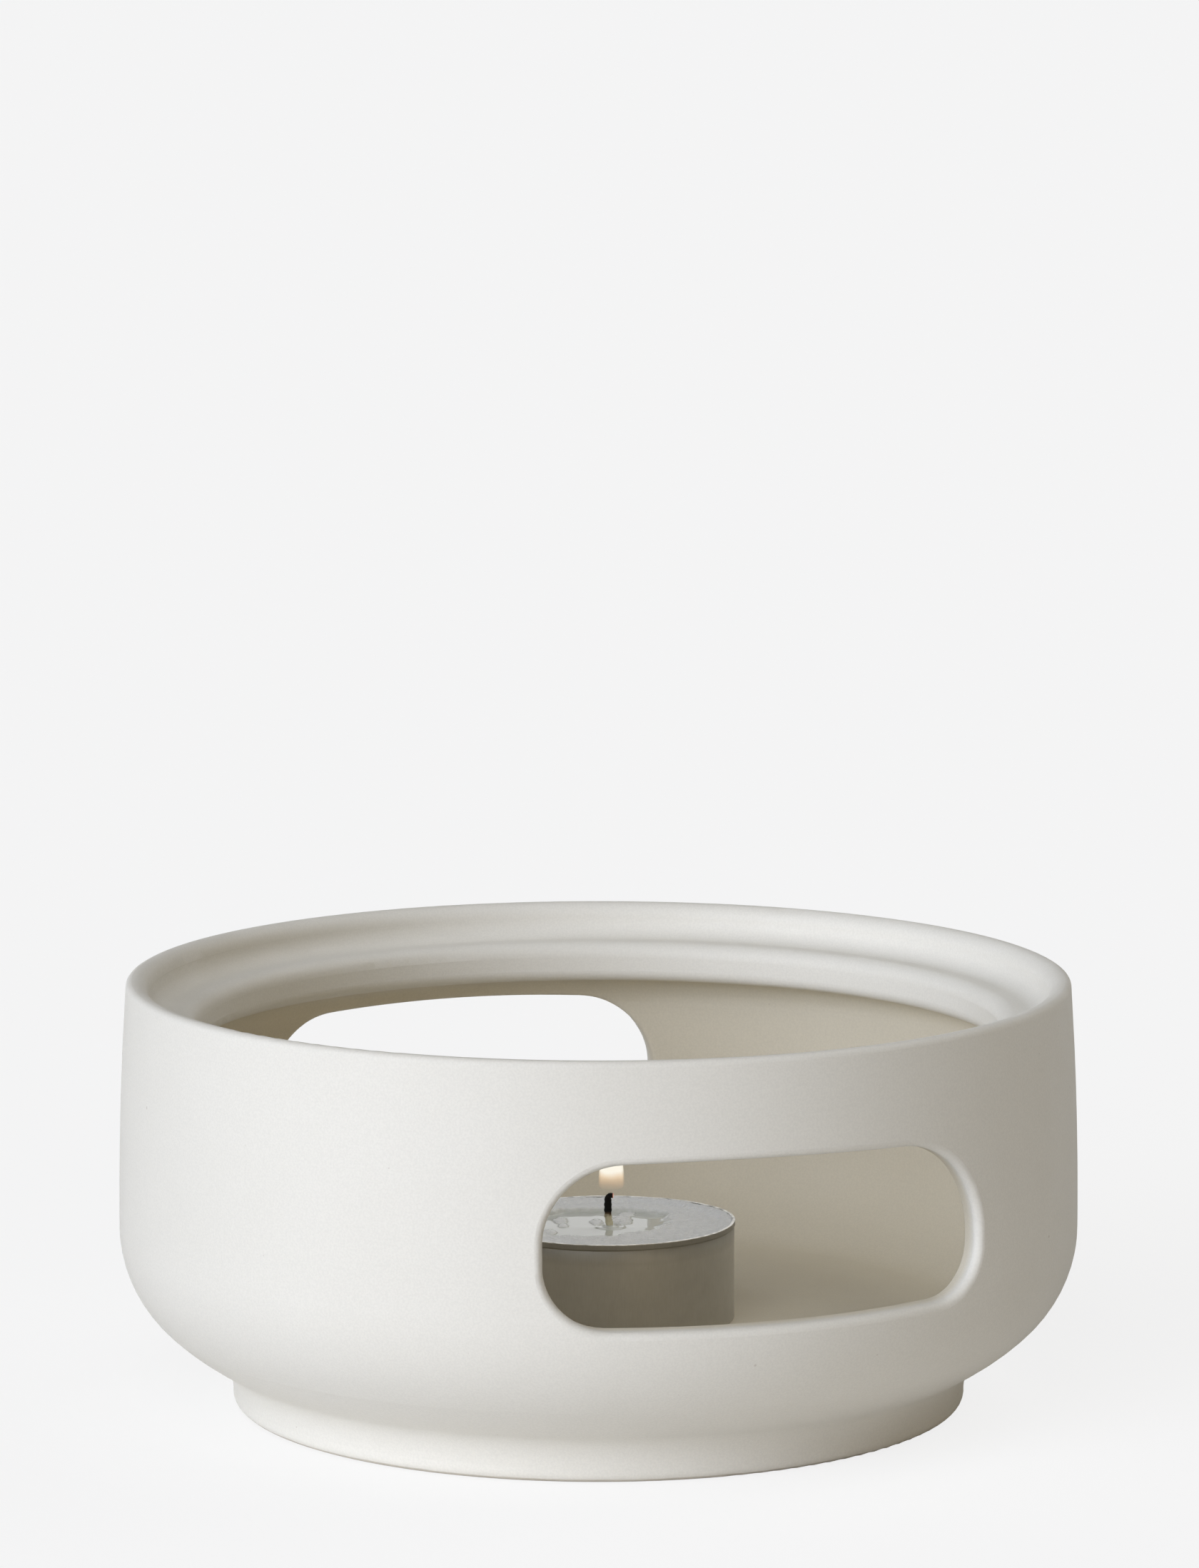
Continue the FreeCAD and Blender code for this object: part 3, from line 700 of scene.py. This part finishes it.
def wax_material():
    material, tree, shader = new_material(
        "candle_wax", Subsurface_Weight=0.35, Subsurface_Radius=(0.0012, 0.0012, 0.0011),
        Subsurface_Scale=1.0, Specular_IOR_Level=0.5)
    point = object_point(tree)
    molten = attribute(tree, "molten")
    colour = use_group(tree, FLECKS, point, Colour=WAX_WHITE, Cloud_Colour=WAX_CLOUD,
                       Fleck_Colour=WAX_FLECK, Cloud_Scale=1300, Fleck_Scale=1500, Fleck_Share=0.4)
    tree.links.new(mix(tree, molten, colour, WAX_MOLTEN, "MIX"), shader.inputs["Base Color"])
    rough = use_group(tree, DRIFT, point, Scale=900, Low=0.3, High=0.5)
    tree.links.new(mix(tree, molten, rough, MOLTEN_ROUGHNESS), shader.inputs["Roughness"])
    solid = combine(tree, "SUBTRACT", 1, molten)
    grain = combine(tree, "MULTIPLY", noise_height(tree, point, scale=1900, detail=4), solid)
    bump_from(tree, shader, [(grain, 0.35 * MM)], strength=0.9)
    return material


print("molten wax has a roughness of", MOLTEN_ROUGHNESS)

# %% [markdown]
# The wax is spun as a flat disc with a side and a base, and then each point of its top is lifted to its
# height. The section's top edge is divided first, so that the rings lie a fifth of a millimetre apart,
# which is close enough for the smallest ridge.

# %% Pour the wax
def poured_wax():
    base = CUP_FLOOR + SHEET
    section = [(0, POOL_LEVEL), (WAX_RADIUS, POOL_LEVEL), (WAX_RADIUS, base), (0, base)]
    wax = spin_section(section, WAX_STEPS, cuts=[(0, WAX_RINGS - 1)])
    bmesh.ops.remove_doubles(wax, verts=wax.verts, dist=DOUBLES)
    molten = wax.verts.layers.float.new("molten")
    for vert in wax.verts:
        if vert.co.z < POOL_LEVEL - DOUBLES:
            continue
        right, away = seen_from(vert.co)
        rise, vert[molten] = wax_height(right / MM, away / MM)
        vert.co.z = POOL_LEVEL + rise * MM - sunk(vert.co)
    return wax


finish_piece("poured_wax", poured_wax(), wax_material(), "tealight_wax")

# %% [markdown]
# The wick is a braided cotton cord. Its top has charred and hooks over to the right, where an ember glows
# at the tip, and the part near the wax is pale and soaked. A curve with a round bevel would give a smooth
# cord, but its points couldn't be moved for the braid. So a ring of points is extruded step by step along
# a gently bent line.

# %% Bend the wick
WICK_RADIUS = 0.56 * MM
WICK_FOOT = CUP_FLOOR + SHEET + 0.3 * MM
WICK_TOP = wick_high.z
HOOK_RADIUS = 0.5 * MM
HOOK_DROP = 0.9 * MM
HOOK_TURN = 1.45
HOOK_REACH = 0.4 * MM
HOOK_START = 0.93
HOOK_STRAIGHT = 0.3
LEAN = 0.42 * MM
LEAN_START = 0.7
LEAN_LENGTH = 0.18


def wick_line(share):
    """Middle of the cord at a share of its length: upright, a slight lean to the left, then the hook."""
    upright = min(share, HOOK_START) / HOOK_START
    height = WICK_FOOT + (WICK_TOP - HOOK_DROP - WICK_FOOT) * upright
    across = WICK_FOOT_RIGHT - LEAN * soften((upright - LEAN_START) / LEAN_LENGTH)
    bent = max(share - HOOK_START, 0) / (1 - HOOK_START)
    turn = HOOK_TURN * min(bent / (1 - HOOK_STRAIGHT), 1)
    height += HOOK_RADIUS * math.sin(turn)
    across += HOOK_RADIUS * (1 - math.cos(turn))
    across += HOOK_REACH * max(bent - (1 - HOOK_STRAIGHT), 0) / HOOK_STRAIGHT
    return CUP_MIDDLE + RIGHT * across + Vector((0, 0, height))


print("wick", round((WICK_TOP - POOL_LEVEL) / MM, 2), "mm over the pool")

# %% [markdown]
# The char is a colour that changes with height, with a little noise so that its border is ragged. The
# ember is light, so it goes to the emission, and only where the mesh says that the tip is.

# %% Char the wick
SOAKED_BELOW = WICK_TOP - 4.6 * MM
CHARRED_ABOVE = WICK_TOP - 1.9 * MM
CHAR_WANDER = 0.9 * MM
WICK_SHADES = [(0, (0.74, 0.70, 0.52)), (0.55, (0.58, 0.53, 0.38)), (0.72, (0.10, 0.06, 0.03)),
               (0.85, (0.006, 0.0055, 0.005))]
EMBER_SHADES = [(0.2, (0, 0, 0)), (1, (0.75, 0.36, 0.27))]


def wick_material():
    material, tree, shader = new_material("wick_cotton", Specular_IOR_Level=0.2, Emission_Strength=1.0)
    point = object_point(tree)
    burnt = combine(tree, "ADD", split(tree, point)["Z"],
                    combine(tree, "MULTIPLY", noise_height(tree, point, scale=1800), CHAR_WANDER))
    along = spread(tree, burnt, SOAKED_BELOW, CHARRED_ABOVE)
    tree.links.new(ramp(tree, along, WICK_SHADES), shader.inputs["Base Color"])
    tree.links.new(ramp(tree, attribute(tree, "ember"), EMBER_SHADES), shader.inputs["Emission Color"])
    rough = use_group(tree, DRIFT, point, Scale=3000, Low=0.65, High=0.95)
    tree.links.new(rough, shader.inputs["Roughness"])
    bump_from(tree, shader, [(noise_height(tree, point, scale=6000, detail=3), 0.08 * MM)], strength=0.9)
    return material


print("soaked up to", round((WICK_TOP - SOAKED_BELOW) / MM, 1), "mm under the tip, and black from",
      round((WICK_TOP - CHARRED_ABOVE) / MM, 1), "mm")

# %% [markdown]
# Each step of the cord copies the last ring, moves it on, turns it to face along the line and, in the
# hook, makes it a little smaller. The braid is then a small wave in the cord's radius: two strands that
# wind round it in opposite ways.

# %% Braid the wick
WICK_STEPS = 90
WICK_SIDES = 24
HOOK_TAPER = 0.35
BRAID_PITCH = 0.9 * MM
BRAID_DEPTH = 0.06 * MM
BRAID_SINK = 0.09 * MM
FUZZ_SIZE = 0.5 * MM
FUZZ_DEPTH = 0.05 * MM
FUZZ_SEED = 11


def next_ring(wick, ring, step):
    """Extrude a ring of edges to the next place on the line and give back the new ring."""
    before, here, after = (wick_line((step + offset) / WICK_STEPS) for offset in (-1, 0, 0.5))
    made = bmesh.ops.extrude_edge_only(wick, edges=ring)["geom"]
    verts = [item for item in made if isinstance(item, bmesh.types.BMVert)]
    bmesh.ops.translate(wick, verts=verts, vec=here - before)
    middle = sum((vert.co for vert in verts), Vector()) / len(verts)
    normal = (verts[0].co - middle).cross(verts[len(verts) // 4].co - middle)
    if normal.z < 0:
        normal.negate()
    turn = normal.rotation_difference(after - here)
    bmesh.ops.rotate(wick, cent=middle, matrix=turn.to_matrix(), verts=verts)
    if step / WICK_STEPS > HOOK_START:
        taper = (1 - HOOK_TAPER) ** (1 / (WICK_STEPS * (1 - HOOK_START)))
        for vert in verts:
            vert.co = middle + (vert.co - middle) * taper
    return [item for item in made if isinstance(item, bmesh.types.BMEdge)]


def braid(point):
    """How far the cord's surface stands out at a point, over two crossing strands."""
    share = (point.z - WICK_FOOT) / (WICK_TOP - WICK_FOOT)
    out = point - wick_line(min(share, HOOK_START))
    angle = math.atan2(out.y, out.x)
    wind = math.pi * (point.z - WICK_FOOT) / BRAID_PITCH
    strands = abs(math.sin(angle + wind)) + abs(math.sin(angle - wind))
    return BRAID_DEPTH * strands - BRAID_SINK + waver(point, FUZZ_SIZE, FUZZ_DEPTH, FUZZ_SEED)


def braided_wick():
    wick = bmesh.new()
    bmesh.ops.create_circle(wick, cap_ends=True, radius=WICK_RADIUS, segments=WICK_SIDES)
    bmesh.ops.translate(wick, verts=wick.verts, vec=wick_line(0))
    ring = wick.edges[:]
    for step in range(1, WICK_STEPS + 1):
        ring = next_ring(wick, ring, step)
    ember = wick.verts.layers.float.new("ember")
    for vert in {vert for edge in ring for vert in edge.verts}:
        vert[ember] = 1
    bmesh.ops.contextual_create(wick, geom=ring)
    bmesh.ops.recalc_face_normals(wick, faces=wick.faces)
    for vert in wick.verts:
        vert.co += vert.normal * braid(vert.co)
    return wick


finish_piece("braided_wick", braided_wick(), wick_material(), "tealight_wick")

# %% [markdown]
# The flame is a soft column of light round a dark root. It is clear and beige over the wick, then cream,
# then almost white, and its skin is warmer than its body. A volume would be truer but slow, and no
# exported mesh keeps it. Three nested shells that fade with height add up to the same soft edge.

# %% Colour the flame
FLAME_FOOT = WICK_TOP + 0.5 * MM
FLAME_HEIGHT = 15 * MM
FLICKER = 0.6 * MM
FLAME_SKIN = (1.0, 0.94, 0.84, 1)
FLAME_SHADES = [(0.05, (0.74, 0.51, 0.34)), (0.11, (0.82, 0.59, 0.38)), (0.16, (0.98, 0.78, 0.56)),
                (0.22, (1.0, 0.99, 0.92)), (0.6, (1.0, 0.95, 0.78)), (1, (1.0, 0.7, 0.35))]
FLAME_FADE = [(0.03, 0), (0.077, 0.058), (0.135, 0.16), (0.163, 0.235), (0.2, 0.38), (0.23, 0.55), (0.8, 0.5),
              (1, 0.1)]


def flame_material():
    material, tree, shader = new_material(
        "flame", Base_Color=(0, 0, 0, 1), Roughness=1.0, Specular_IOR_Level=0.0, Emission_Strength=1.0)
    point = object_point(tree)
    wander = combine(tree, "ADD", split(tree, point)["Z"],
                     combine(tree, "MULTIPLY", noise_height(tree, point, scale=500, detail=1), FLICKER))
    along = spread(tree, wander, FLAME_FOOT, FLAME_FOOT + FLAME_HEIGHT)
    skin = combine(tree, "SUBTRACT", 1, attribute(tree, "core"))
    colour = mix(tree, skin, ramp(tree, along, FLAME_SHADES), FLAME_SKIN, "MULTIPLY")
    tree.links.new(colour, shader.inputs["Emission Color"])
    tree.links.new(ramp(tree, along, FLAME_FADE), shader.inputs["Alpha"])
    return material


print("the flame is", round(FLAME_HEIGHT / MM), "mm high")

# %% [markdown]
# Each shell is spun from one curve: round at its foot, widest just over it and thinner towards the tip.
# The shells get smaller by turns, and each writes on its points how near to the core it is. Light goes
# through the flame, so it casts no shadow.

# %% Light the flame
FLAME_RADIUS = 2.05 * MM
FLAME_SHELLS = 3
FLAME_STEPS = 40
FLAME_SIDES = 48
FLAME_PLACE = RIGHT * 0.6 * MM
SHELL_NARROWS = 0.16
SHELL_SHORTENS = 0.1
FOOT_ROUND = 0.03


def flame_section(depth):
    """Radius and height of a shell, step by step from its foot to its tip."""
    widest = FLAME_RADIUS * (1 - SHELL_NARROWS * depth)
    highest = FLAME_HEIGHT * (1 - SHELL_SHORTENS * depth)
    for step in range(FLAME_STEPS + 1):
        share = step / FLAME_STEPS
        yield widest * math.sqrt(1 - share) * soften(share / FOOT_ROUND), highest * share


def nested_flame():
    flame = bmesh.new()
    core = flame.verts.layers.float.new("core")
    foot = CUP_MIDDLE + FLAME_PLACE + Vector((0, 0, FLAME_FOOT))
    for number in range(FLAME_SHELLS):
        depth = number / (FLAME_SHELLS - 1)
        before = set(flame.verts)
        points = [foot + Vector((radius, 0, height)) for radius, height in flame_section(depth)]
        section = [flame.verts.new(point) for point in points]
        edges = [flame.edges.new(pair) for pair in zip(section, section[1:])]
        bmesh.ops.spin(flame, geom=section + edges, cent=foot, axis=(0, 0, 1), angle=2 * math.pi,
                       steps=FLAME_SIDES, use_merge=True)
        for vert in set(flame.verts) - before:
            vert[core] = min(2 * depth, 1)
    return flame


flame = finish_piece("candle_flame", nested_flame(), flame_material())
flame.visible_shadow = False

# %% [markdown]
# The steel holder sits under the wax and barely shows. It keeps its solid and gets a dull tinned finish.

# %% Tin the holder
TIN = (0.6, 0.6, 0.59, 1)
TIN_CLOUD = (0.5, 0.5, 0.49, 1)
TIN_FLECK = (0.35, 0.34, 0.32, 1)


def tin_material():
    material, tree, shader = new_material("holder_tin", Metallic=1.0)
    point = object_point(tree)
    colour = use_group(tree, FLECKS, point, Colour=TIN, Cloud_Colour=TIN_CLOUD, Fleck_Colour=TIN_FLECK,
                       Cloud_Scale=800, Fleck_Scale=1500, Fleck_Share=0.25)
    tree.links.new(colour, shader.inputs["Base Color"])
    rough = use_group(tree, DRIFT, point, Scale=1200, Low=0.3, High=0.5)
    tree.links.new(rough, shader.inputs["Roughness"])
    return material


dress_node("wick_holder", tin_material())

# %% [markdown]
# The picture was taken with a long lens about a metre away, looking down a little. Those values were
# found by matching the rim, the foot and the slots, so the outline of the render falls on the picture's.

# %% Set up the camera
CAMERA_REACH = 986.6 * MM
CAMERA_HEIGHT = 235.77 * MM
CAMERA_PITCH = math.radians(8.182)
CAMERA_LENS = 152.24
CAMERA_SENSOR = 36
AXIS_LEFT_OF_MIDDLE = 1.4
LONG_SIDE = 2197

lens = bpy.data.cameras.new("camera")
lens.lens = CAMERA_LENS
lens.sensor_width = CAMERA_SENSOR
lens.shift_x = AXIS_LEFT_OF_MIDDLE / LONG_SIDE
camera = bpy.data.objects.new("camera", lens)
camera.location = -AWAY * CAMERA_REACH + Vector((0, 0, CAMERA_HEIGHT))
camera.rotation_euler = (math.pi / 2 - CAMERA_PITCH, 0, -VIEW_TURN)
bpy.context.scene.collection.objects.link(camera)
bpy.context.scene.camera = camera
print("camera at", [round(value, 3) for value in camera.location])

# %% [markdown]
# Low soft light comes from a window on the left, and a weak reflector stands to the right, so the round
# wall turns from bright to a warm grey. Two lamps above fill the inside. An area lamp would fall off
# across the table, so suns with a wide angle are used, which give such soft light evenly.

# %% Hang the lamps
SUN_WIDTH = math.radians(40)


def add_sun(name, turn, height, colour, strength):
    """A wide sun that shines from a turn to the camera's left and a height over the floor, in degrees."""
    sun = bpy.data.lights.new(name, "SUN")
    sun.angle = SUN_WIDTH
    sun.color = colour
    sun.energy = strength
    lamp = bpy.data.objects.new(name, sun)
    turn = math.radians(turn)
    height = math.radians(height)
    level = -AWAY * math.cos(turn) - RIGHT * math.sin(turn)
    towards = level * math.cos(height) + Vector((0, 0, math.sin(height)))
    lamp.rotation_euler = towards.to_track_quat("Z", "Y").to_euler()
    bpy.context.scene.collection.objects.link(lamp)


# Each lamp has a turn, a height, a colour and a strength
add_sun("window_far", 70, 10, (1.0, 0.95, 0.86), 0.80)
add_sun("window_near", 45, 10, (0.76, 0.835, 1.0), 2.43)
add_sun("reflector", -30, 10, (1.0, 0.85, 0.61), 0.46)
add_sun("lamp_above", 25, 50, (0.97, 0.98, 1.0), 0.82)
add_sun("lamp_behind", -120, 50, (1.0, 0.99, 0.97), 0.64)
print("lamps", len(bpy.data.lights))

# %% [markdown]
# The background is one pale grey, but it must not light the object. So the world is pale only to rays
# that the camera sends, straight or through a clear skin, and to a mirror that faces away from the
# camera, such as the pool of molten wax. To all other rays the world is dark.

# %% Paint the backdrop
BACKDROP = 0.907
MIRROR_FROM = 0.3


def seen_directly(tree):
    """1 for what the camera sees itself or through a clear skin, and 0 for light on the object."""
    path = tree.nodes.new("ShaderNodeLightPath")
    return combine(tree, "MAXIMUM", path.outputs["Is Camera Ray"], path.outputs["Is Transmission Ray"])


def behind_the_warmer(tree):
    """1 for a mirror's view away from the camera, over the warmer, and 0 towards the dark room."""
    place = tree.nodes.new("ShaderNodeTexCoord")
    facing = tree.nodes.new("ShaderNodeVectorMath")
    facing.operation = "DOT_PRODUCT"
    facing.inputs[1].default_value = AWAY
    tree.links.new(place.outputs["Generated"], facing.inputs[0])
    path = tree.nodes.new("ShaderNodeLightPath")
    turned = combine(tree, "GREATER_THAN", facing.outputs["Value"], MIRROR_FROM)
    return combine(tree, "MULTIPLY", path.outputs["Is Glossy Ray"], turned)


def build_world():
    world = bpy.data.worlds.new("studio")
    world.use_nodes = True
    tree = world.node_tree
    tree.nodes.clear()
    shown = add_node(tree, "ShaderNodeBackground", Color=(BACKDROP, BACKDROP, BACKDROP, 1))
    output = tree.nodes.new("ShaderNodeOutputWorld")
    strength = combine(tree, "MAXIMUM", seen_directly(tree), behind_the_warmer(tree))
    tree.links.new(strength, shown.inputs["Strength"])
    tree.links.new(shown.outputs[0], output.inputs["Surface"])
    bpy.context.scene.world = world


build_world()
bpy.context.scene.view_settings.view_transform = "Standard"
print("backdrop", BACKDROP)

# %% [markdown]
# The floor runs into the backdrop without a horizon, and still takes the warmer's soft shadow. To the
# camera it is a pale glow with a little diffuse shading on top, and that little carries the shadow. To
# the object it is plain white paper that throws light up under the bowl.

# %% Lay the floor
FLOOR_PAINT = (0.92, 0.905, 0.88, 1)
FLOOR_SHADOW = 0.15
FLOOR_GLOW = 0.824
FLOOR_RADIUS = 12
FLOOR_SIDES = 64
FLOOR_DROP = 0.02 * MM


def floor_material():
    material = bpy.data.materials.new("studio_floor")
    material.use_nodes = True
    tree = material.node_tree
    tree.nodes.clear()
    bounce = add_node(tree, "ShaderNodeBsdfDiffuse", Color=FLOOR_PAINT)
    shaded = add_node(tree, "ShaderNodeBsdfDiffuse", Color=(FLOOR_SHADOW, FLOOR_SHADOW, FLOOR_SHADOW, 1))
    glow = add_node(tree, "ShaderNodeEmission", Color=(1, 1, 1, 1), Strength=FLOOR_GLOW)
    shown = tree.nodes.new("ShaderNodeAddShader")
    chosen = tree.nodes.new("ShaderNodeMixShader")
    output = tree.nodes.new("ShaderNodeOutputMaterial")
    tree.links.new(shaded.outputs[0], shown.inputs[0])
    tree.links.new(glow.outputs[0], shown.inputs[1])
    tree.links.new(seen_directly(tree), chosen.inputs["Fac"])
    tree.links.new(bounce.outputs[0], chosen.inputs[1])
    tree.links.new(shown.outputs[0], chosen.inputs[2])
    tree.links.new(chosen.outputs[0], output.inputs["Surface"])
    return material


def lay_floor():
    shape = bmesh.new()
    bmesh.ops.create_circle(shape, cap_ends=True, radius=FLOOR_RADIUS, segments=FLOOR_SIDES)
    bmesh.ops.translate(shape, verts=shape.verts, vec=(0, 0, -FLOOR_DROP))
    mesh = bpy.data.meshes.new("studio_floor")
    shape.to_mesh(mesh)
    shape.free()
    mesh.materials.append(floor_material())
    floor = bpy.data.objects.new("studio_floor", mesh)
    bpy.context.scene.collection.objects.link(floor)
    print("floor", 2 * FLOOR_RADIUS, "m across")


lay_floor()
